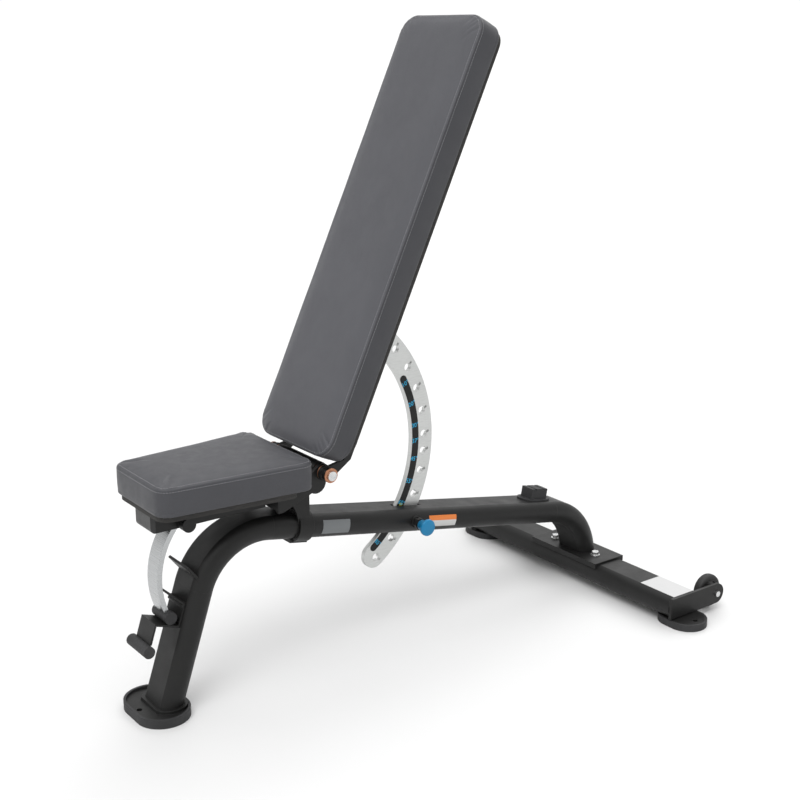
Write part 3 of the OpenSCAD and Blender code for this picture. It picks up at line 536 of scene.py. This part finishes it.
class Cushion:
    """A sewn cushion: a side band and a crowned face that meet in a stitched seam.

    It is a stack of rings round one outline. The rings near the seam follow the outline at a fixed
    inset; the face's rings then close in on the middle line between spine[0] and spine[1].
    """

    SEAM_DIP = 0.8 * MM

    # Inset and rise in millimetres, from under the board round the tucked hem to the groove above it
    HEM = ((22, 0), (6.5, 0), (2.6, 0.2), (0.9, 1.6), (0.6, 4), (0.5, 7.2), (1.0, 8.0), (0.5, 8.8))
    SIDE_TOP = 4.5 * MM
    CLOSING_RINGS = 14
    UNDERSIDE_STEPS = (0.66, 0.33, 0.0)
    MERGE = 0.4 * MM

    def __init__(self, name, corners, bottom, seam, crown, spine, shoulder, step=7 * MM, waist=1.2 * MM):
        self.name = name
        self.outline = rounded_outline(corners, step)
        self.start = min(p.x for p, _ in self.outline)
        self.end = max(p.x for p, _ in self.outline)
        self.bottom = bottom
        self.seam = seam
        self.crown = crown
        self.spine = spine
        self.shoulder = shoulder
        self.waist = waist
        self.rings = []
        self.seam_row = 0
        self.stitch_rows = []

    def mid(self, point):
        """The nearest point of the middle line."""
        return Vector((min(max(point.x, self.spine[0]), self.spine[1]), 0))

    def side_rings(self):
        """Insets and heights from the tucked hem up to the seam."""
        height = self.seam - self.bottom
        low = self.bottom
        rows = [(inset * MM, low + rise * MM) for inset, rise in self.HEM]
        inner = 6
        for i in range(1, inner + 1):
            t = i / (inner + 1)
            bulge = 0.5 * MM * math.sin(math.pi * t)
            rows.append((0.5 * MM - bulge, low + 8.8 * MM + (height - 8.8 * MM - self.SIDE_TOP) * t))
        rows.append((0.5 * MM, self.seam - self.SIDE_TOP))
        rows.append((0.7 * MM, self.seam - 2 * MM))
        rows.append((1.0 * MM, self.seam - 0.7 * MM))
        return rows

    def face_rings(self):
        """Insets and heights from the seam over the rounded shoulder."""
        return [(inset * MM, self.seam + rise * MM) for inset, rise in self.shoulder]

    def offset_ring(self, inset, height):
        """The outline moved in by inset; its long sides draw in a little more midway between corners."""
        ring = []
        for point, normal in self.outline:
            draw_in = self.waist * (1 - abs(normal.x)) * self.midway(point)
            p = point - normal * (inset + draw_in)
            ring.append(Vector((p.x, p.y, height)))
        return ring

    def midway(self, point):
        """1 midway along the cushion and 0 at its ends."""
        return math.sin(math.pi * (point.x - self.start) / (self.end - self.start))

    def build(self):
        rows = [self.offset_ring(*row) for row in self.side_rings()]
        self.stitch_rows.append(len(rows) - 3)
        self.seam_row = len(rows)
        rows.append(self.offset_ring(1.0 * MM + self.SEAM_DIP, self.seam))
        shoulder = self.face_rings()
        rows += [self.offset_ring(*row) for row in shoulder]
        self.stitch_rows.append(self.seam_row + 3)
        last = rows[-1]
        height = shoulder[-1][1]
        for i in range(1, self.CLOSING_RINGS + 1):
            t = 1 - i / self.CLOSING_RINGS
            ring = []
            for p in last:
                centre = self.mid(p)
                q = centre + (Vector((p.x, p.y)) - centre) * t
                ring.append(Vector((q.x, q.y, height + self.crown * (1 - t * t))))
            rows.append(ring)
        self.rings = rows
        return self.mesh()

    def mesh(self):
        count = len(self.outline)
        length = sum((a[0] - b[0]).length for a, b in zip(self.outline, self.outline[1:] + self.outline[:1]))
        around = length / (2 * math.pi)
        mesh = bpy.data.meshes.new(self.name)
        bm = bmesh.new()
        seam_layer = bm.verts.layers.float_vector.new("seam")
        rows = ring_loft(bm, self.rings, close_ends=False)
        travelled = [0.0]
        for a, b in zip(self.outline, self.outline[1:]):
            travelled.append(travelled[-1] + (b[0] - a[0]).length)
        for r, row in enumerate(rows):
            across = (self.rings[r][0] - self.rings[self.seam_row][0]).length
            for i, vert in enumerate(row):
                a = 2 * math.pi * travelled[i] / length
                vert[seam_layer] = Vector((around * math.cos(a), around * math.sin(a), across))
        for face in bm.faces:
            face.smooth = True
        bm.faces.ensure_lookup_table()
        for k, face in enumerate(bm.faces):
            face.material_index = 0 if k // count >= self.seam_row else 1
        self.close_underside(bm, rows[0])
        bmesh.ops.remove_doubles(bm, verts=rows[-1], dist=self.MERGE)
        bm.normal_update()
        bm.to_mesh(mesh)
        bm.free()
        return mesh

    def close_underside(self, bm, rim):
        """Flat rings from the hem to the middle line, under the board."""
        previous = rim
        for t in self.UNDERSIDE_STEPS:
            ring = []
            for vert in rim:
                centre = self.mid(vert.co)
                spot = centre + (vert.co.xy - centre) * t
                ring.append(bm.verts.new((spot.x, spot.y, vert.co.z)))
            for i, vert in enumerate(ring):
                j = (i + 1) % len(ring)
                face = bm.faces.new((previous[i], vert, ring[j], previous[j]))
                face.material_index = 1
                face.smooth = True
            previous = ring
        bmesh.ops.remove_doubles(bm, verts=previous, dist=self.MERGE)

    def pinned(self, mesh):
        """Vertices that the sewing and the board hold: the underside, the hem and the seam."""
        count = len(self.outline)
        under = [v.index for v in mesh.vertices if v.co.z < self.bottom + 2 * MM]
        return under + [self.seam_row * count + i for i in range(count)]

    def row(self, obj, r):
        """Points and outward normals of one ring of the finished mesh."""
        count = len(self.outline)
        verts = obj.data.vertices
        return [(verts[r * count + i].co.copy(), verts[r * count + i].normal.copy()) for i in range(count)]


def inflate(obj, pinned, cap, pressure=4.0, frames=20):
    """Fills a cushion with a short cloth simulation; no point moves more than cap."""
    rest = [v.co.copy() for v in obj.data.vertices]
    group = obj.vertex_groups.new(name="held")
    group.add(pinned, 1.0, "REPLACE")
    cloth = obj.modifiers.new("cloth", "CLOTH")
    settings = cloth.settings
    settings.quality = 6
    settings.mass = 0.3
    settings.tension_stiffness = 25
    settings.compression_stiffness = 25
    settings.shear_stiffness = 8
    settings.bending_stiffness = 1.5
    settings.use_pressure = True
    settings.uniform_pressure_force = pressure
    settings.vertex_group_mass = "held"
    settings.effector_weights.gravity = 0
    cloth.point_cache.frame_start = 1
    cloth.point_cache.frame_end = frames
    scene = bpy.context.scene
    for number in range(1, frames + 1):
        scene.frame_set(number)
    evaluated = obj.evaluated_get(bpy.context.evaluated_depsgraph_get())
    moved = [v.co.copy() for v in evaluated.data.vertices]
    obj.modifiers.remove(cloth)
    obj.vertex_groups.clear()
    for vert, a, b in zip(obj.data.vertices, rest, moved):
        step = b - a
        size = step.length
        if size > 1e-7:
            step *= cap * math.tanh(size / cap) / size
        vert.co = a + step
    scene.frame_set(1)
    obj.data.update()


def settle(obj, amount, scale, seed):
    """Slight unevenness of foam under the cover."""
    for vert in obj.data.vertices:
        n = noise.noise(Vector((vert.co.x * scale + seed, vert.co.y * scale, vert.co.z * scale * 0.5)))
        vert.co += vert.normal * (amount * n)
    obj.data.update()


def stitches(name, path, pitch, length, radius, lift):
    """Rows of short thread stitches along a closed path of (point, normal) pairs."""
    points = [p for p, _ in path]
    normals = [n for _, n in path]
    count = len(points)
    spans = [(points[(i + 1) % count] - points[i]).length for i in range(count)]
    total = sum(spans)
    number = int(total / pitch)

    def at(distance):
        distance %= total
        for i, span in enumerate(spans):
            if distance <= span:
                t = distance / span if span else 0
                j = (i + 1) % count
                return points[i].lerp(points[j], t), normals[i].lerp(normals[j], t).normalized()
            distance -= span
        return points[0], normals[0]

    def build(bm):
        for k in range(number):
            centre, normal = at(total * k / number)
            ahead, _ = at(total * k / number + 1 * MM)
            along = (ahead - centre).normalized()
            side = normal.cross(along).normalized()
            rings = []
            for t in (-1, -0.72, -0.3, 0.3, 0.72, 1):
                thick = radius * math.sqrt(max(0.04, 1 - t * t))
                sag = lift - 0.45 * radius * t * t * 2
                middle = centre + along * (t * length / 2) + normal * sag
                ring = []
                for i in range(6):
                    a = 2 * math.pi * i / 6
                    ring.append(middle + side * (thick * math.cos(a)) + normal * (thick * math.sin(a)))
                rings.append(ring)
            ring_loft(bm, rings)

    return mesh_of(name, build)


def finish_cushion(cushion, materials, body, matrix, node, seed, cap):
    """Builds a cushion, fills it, sews its stitches and puts it in the CAD pad's place."""
    obj = new_object(cushion.name, cushion.build(), materials, body, matrix)
    inflate(obj, cushion.pinned(obj.data), cap)
    settle(obj, 0.5 * MM, 16, seed)
    obj.data.update()
    paths = [cushion.row(obj, r) for r in cushion.stitch_rows]
    detail = obj.modifiers.new("detail", "SUBSURF")
    detail.levels = 1
    detail.render_levels = 1
    detail.use_limit_surface = False
    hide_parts(node)
    for k, path in enumerate(paths):
        mesh = stitches(f"{cushion.name}_stitches_{k + 1}", path, 5.2 * MM, 4.0 * MM, 0.42 * MM, 0.3 * MM)
        new_object(mesh.name, mesh, [THREAD], body, matrix)
    return obj


# How far the covers' outlines stand in from, or out past, the CAD pads
SEAT_FRONT_IN = 2 * MM
SEAT_REAR_OUT = 13 * MM
BACK_LOW_OUT = 5 * MM

# Inset and rise from the seam, in millimetres: a tight edge on the back, a softer one on the seat
BACK_SHOULDER = ((1.5, 0.5), (1.9, 1.2), (4.2, 2.5), (7.5, 3.3), (12, 3.8), (18, 4.2))
SEAT_SHOULDER = ((1.7, 0.9), (2.2, 1.9), (4.6, 3.6), (8, 5.0), (13, 6.1), (20, 7.0))


def back_cushion():
    low, high = local_box("back_pad", BACK_FRAME)
    half = high.y
    radius = 42 * MM
    foot, head = low.x - BACK_LOW_OUT, high.x
    corners = [(foot, -half, radius), (head, -half, radius), (head, half, radius), (foot, half, radius)]
    spine = (foot + half, head - half)
    cushion = Cushion("back_cushion", corners, low.z, high.z - 3 * MM, 0.8 * MM, spine, BACK_SHOULDER)
    # The side band and underside take the darkened side vinyl, which carries painted shade.
    return finish_cushion(cushion, [FACE_VINYL, PAINTED_SHADE_SIDE_VINYL], "back", BACK_FRAME, "back_pad", 3.1, 3.5 * MM)


def seat_cushion():
    """The cover closes over the pad's block and bulges out behind it, towards the back."""
    low, high = local_box("seat_pad", SEAT_FRAME)
    front_half = max(abs(p.y) for p in local_points("seat_pad", SEAT_FRAME) if p.x < low.x + 36 * MM)
    rear_half = high.y + 2 * MM
    front, rear = low.x + SEAT_FRONT_IN, high.x + SEAT_REAR_OUT
    corners = [(front, -front_half, 30 * MM), (rear, -rear_half, 24 * MM),
               (rear, rear_half, 24 * MM), (front, front_half, 30 * MM)]
    spine = (front + 0.75 * front_half, rear - 0.8 * rear_half)
    cushion = Cushion("seat_cushion", corners, low.z - 0.5 * MM, high.z - 9 * MM, 3.0 * MM, spine,
                      SEAT_SHOULDER, waist=0.6 * MM)
    # The seat's top and sides both take the darkened seat vinyl, which carries painted shade.
    return finish_cushion(cushion, [PAINTED_SHADE_SEAT_VINYL, PAINTED_SHADE_SEAT_VINYL], "seat", SEAT_FRAME, "seat_pad", 8.4, 3 * MM)


# ---------- turned and moulded pieces ----------


def lock_knob():
    """Blue domed knob on a short stem."""
    low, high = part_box("pin_knob")
    centre = Vector((LOCK.x, 0, LOCK.z))
    radius = (high.x - low.x) / 2
    face = low.y
    rim = face + 3.2 * MM
    dome = [(0.01 * MM, face)]
    for i in range(1, 7):
        t = i / 6
        dome.append((t * (radius - 2.4 * MM), face + 1.5 * MM * t * t))
    profile = dome + [
        (radius - 0.9 * MM, face + 2.1 * MM), (radius - 0.15 * MM, rim), (radius, rim + 1.6 * MM),
        (radius, face + 7.5 * MM), (radius - 0.5 * MM, face + 9 * MM), (radius - 1.8 * MM, face + 10.2 * MM),
        (radius - 4 * MM, face + 11 * MM), (radius - 5.6 * MM, face + 12.2 * MM), (10.9 * MM, face + 14 * MM),
        (10.6 * MM, high.y - 1 * MM), (9.9 * MM, high.y), (8.2 * MM, high.y),
    ]
    mesh = lathe("lock_knob", profile, centre)
    knob = new_object("lock_knob", mesh, [MATERIALS["knob_blue"]], "pull_pin")
    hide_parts("pin_knob")


def tyre(side, body):
    """Solid tyre with a crowned tread and a moulded line on each wall."""
    node = f"wheel_tyre_{side}"
    low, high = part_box(node)
    centre = (low + high) / 2
    radius = (high.x - low.x) / 2
    half = (high.y - low.y) / 2
    inner = radius - 14 * MM
    quarter = [
        (inner, -half + 1.2 * MM), (inner + 0.8 * MM, -half + 0.2 * MM), (inner + 3 * MM, -half),
        (inner + 4 * MM, -half + 0.9 * MM), (inner + 5 * MM, -half), (radius - 6 * MM, -half),
        (radius - 3.2 * MM, -half + 0.8 * MM), (radius - 1.4 * MM, -half + 2.6 * MM),
        (radius - 0.5 * MM, -half + 5 * MM), (radius, -half + 8 * MM),
    ]
    profile = quarter + [(r, -y) for r, y in reversed(quarter)]

    def build(bm):
        rings = []
        for k in range(96):
            a = 2 * math.pi * k / 96
            out = Vector((math.cos(a), 0, math.sin(a)))
            rings.append([centre + out * r + Vector((0, y, 0)) for r, y in profile])
        rows = [[bm.verts.new(p) for p in ring] for ring in rings]
        for one, two in zip(rows, rows[1:] + rows[:1]):
            for i in range(len(profile)):
                j = (i + 1) % len(profile)
                bm.faces.new((one[i], one[j], two[j], two[i]))
        bmesh.ops.recalc_face_normals(bm, faces=bm.faces)

    obj = new_object(f"tyre_{side}", mesh_of(f"tyre_{side}", build), [MATERIALS["wheel_rubber"]], body)
    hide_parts(node)


# ---------- print ----------

LABELS = (10, 20, 30, 37, 45, 55, 65, 75, 85)
HOLE_OFFSET = math.radians(30.7)
PRINT_LEAD = math.radians(4.6)
STRIP_RADIUS = 278.5 * MM
STRIP_HALF = 8 * MM
STRIP_ENDS = (83.2, 3)
MARK_POLAR = math.radians(-30.5)


def degree_numbers():
    """Setting numbers on the strip, each a little above its hole, reading outwards."""
    low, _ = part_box("angle_strip")
    for label in LABELS:
        polar = HOLE_OFFSET - math.radians(label) + PRINT_LEAD
        curve = bpy.data.curves.new(f"degrees_{label}", "FONT")
        curve.body = f"{label}°"
        curve.size = 13 * MM
        curve.extrude = 0.08 * MM
        curve.align_x = "CENTER"
        curve.align_y = "CENTER"
        curve.resolution_u = 3
        out = Vector((math.cos(polar), 0, math.sin(polar)))
        place = Vector((PIVOT.x, low.y - 0.09 * MM, PIVOT.z)) + out * STRIP_RADIUS
        obj = bpy.data.objects.new(curve.name, curve)
        bpy.context.scene.collection.objects.link(obj)
        curve.materials.append(PRINT_BLUE)
        obj.matrix_world = axes(place, out, (0, -1, 0))
        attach(obj, "back")


def strip():
    """Printed strip on the plate's near face, with round ends."""
    low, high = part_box("angle_strip")
    first, last = (HOLE_OFFSET - math.radians(label) for label in STRIP_ENDS)
    steps, cap = 72, 8

    def ring(y):
        points = []
        edges = ((STRIP_RADIUS + STRIP_HALF, (first, last)), (STRIP_RADIUS - STRIP_HALF, (last, first)))
        for radius, ends in edges:
            for i in range(steps + 1):
                a = ends[0] + (ends[1] - ends[0]) * i / steps
                points.append(PIVOT + Vector((radius * math.cos(a), 0, radius * math.sin(a))))
            a = ends[1]
            turn = 1 if ends[1] == last else -1
            middle = Vector((math.cos(a), 0, math.sin(a))) * STRIP_RADIUS
            out = Vector((math.cos(a), 0, math.sin(a))) * turn
            along = Vector((-math.sin(a), 0, math.cos(a))) * turn
            for i in range(1, cap):
                b = math.pi * i / cap
                points.append(PIVOT + middle + (out * math.cos(b) + along * math.sin(b)) * STRIP_HALF)
        return [Vector((p.x, y, p.z)) for p in points]

    def build(bm):
        ring_loft(bm, [ring(high.y), ring(low.y)])
        bmesh.ops.recalc_face_normals(bm, faces=bm.faces)

    mesh = mesh_of("angle_scale", build)
    mesh.shade_flat()
    obj = new_object("angle_scale", mesh, [MATERIALS["strip_black"]], "back")
    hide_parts("angle_strip")


def setting_mark():
    """Small printed mark on the strip, level with the slot at rest."""
    low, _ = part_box("angle_strip")
    out = Vector((math.cos(MARK_POLAR), 0, math.sin(MARK_POLAR)))
    place = Vector((PIVOT.x, low.y, PIVOT.z)) + out * STRIP_RADIUS

    def build(bm):
        outline = rounded_outline([(-4.5, -3, 1.2), (4.5, -3, 1.2), (4.5, 3, 1.2), (-4.5, 3, 1.2)], 1.5)
        ring_loft(bm, [[Vector((p.x, p.y, z)) * MM for p, _ in outline] for z in (0.0, 0.15)])

    matrix = axes(place, out, (0, -1, 0))
    new_object("setting_mark", mesh_of("setting_mark", build), [PRINT_OLIVE], "back", matrix)


# ---------- stage ----------


def stage():
    mesh = mesh_of("floor", lambda bm: bmesh.ops.create_grid(bm, x_segments=1, y_segments=1, size=150))
    floor = bpy.data.objects.new("floor", mesh)
    bpy.context.scene.collection.objects.link(floor)
    g = Graph("floor")
    g.set(Base_Color=g.mix(g.noise(3, 2), (0.63, 0.63, 0.63), (0.65, 0.65, 0.65)), Roughness=0.6)
    mesh.materials.append(g.material)


def sun_light(name, towards, strength, angle):
    """A distant soft light shining along a direction; it lights the whole floor evenly."""
    light = bpy.data.lights.new(name, "SUN")
    light.energy = strength
    light.angle = math.radians(angle)
    obj = bpy.data.objects.new(name, light)
    bpy.context.scene.collection.objects.link(obj)
    obj.rotation_euler = Vector(towards).to_track_quat("-Z", "Y").to_euler()


# Where the world's gradient changes, from straight down (0) to straight up (1), and its brightness there
SKY_STOPS = ((0.0, 0.62), (0.04, 0.62), (0.22, 0.34), (0.6, 0.62), (1.0, 1.0))
SKY_STRENGTH = 1.65


def lights():
    """A bright ceiling over dimmer walls, a white line at the horizon, and two broad soft lights."""
    world = bpy.data.worlds.new("studio")
    world.use_nodes = True
    tree = world.node_tree
    coords = tree.nodes.new("ShaderNodeTexCoord")
    split = tree.nodes.new("ShaderNodeSeparateXYZ")
    ramp = tree.nodes.new("ShaderNodeValToRGB")
    tree.links.new(coords.outputs["Generated"], split.inputs[0])
    tree.links.new(split.outputs[2], ramp.inputs[0])
    while len(ramp.color_ramp.elements) < len(SKY_STOPS):
        ramp.color_ramp.elements.new(0.5)
    for element, (position, level) in zip(ramp.color_ramp.elements, SKY_STOPS):
        element.position = position
        element.color = (level, level, level, 1)
    background = tree.nodes["Background"]
    tree.links.new(ramp.outputs[0], background.inputs["Color"])
    background.inputs["Strength"].default_value = SKY_STRENGTH
    scene = bpy.context.scene
    scene.world = world
    scene.view_settings.view_transform = "Standard"
    sun_light("key", (0.55, 0.35, -1.0), 1.5, 35)
    sun_light("rim", (-0.8, -0.5, -0.9), 0.6, 40)


# The camera's place from the back hinge along the floor, its height, its turn and its fall
CAMERA_AWAY = (-1.3024, -2.0759)
CAMERA_HEIGHT = 1.2476
CAMERA_TURN = -36.651
CAMERA_FALL = 15.756


def camera():
    """Matches the view that the bench is drawn for."""
    data = bpy.data.cameras.new("camera")
    data.lens = 58.93
    data.sensor_width = 36
    data.dof.use_dof = False
    obj = bpy.data.objects.new("camera", data)
    bpy.context.scene.collection.objects.link(obj)
    obj.location = PIVOT + Vector((*CAMERA_AWAY, CAMERA_HEIGHT - PIVOT.z))
    obj.rotation_euler = (math.radians(90 - CAMERA_FALL), 0, math.radians(CAMERA_TURN))
    bpy.context.scene.camera = obj


# ---------- the scene ----------

camera()
paint_frame()
back_cushion()
seat_cushion()
lock_knob()
tyre("right", "wheel_right")
tyre("left", "wheel_left")
strip()
degree_numbers()
setting_mark()
stage()
lights()
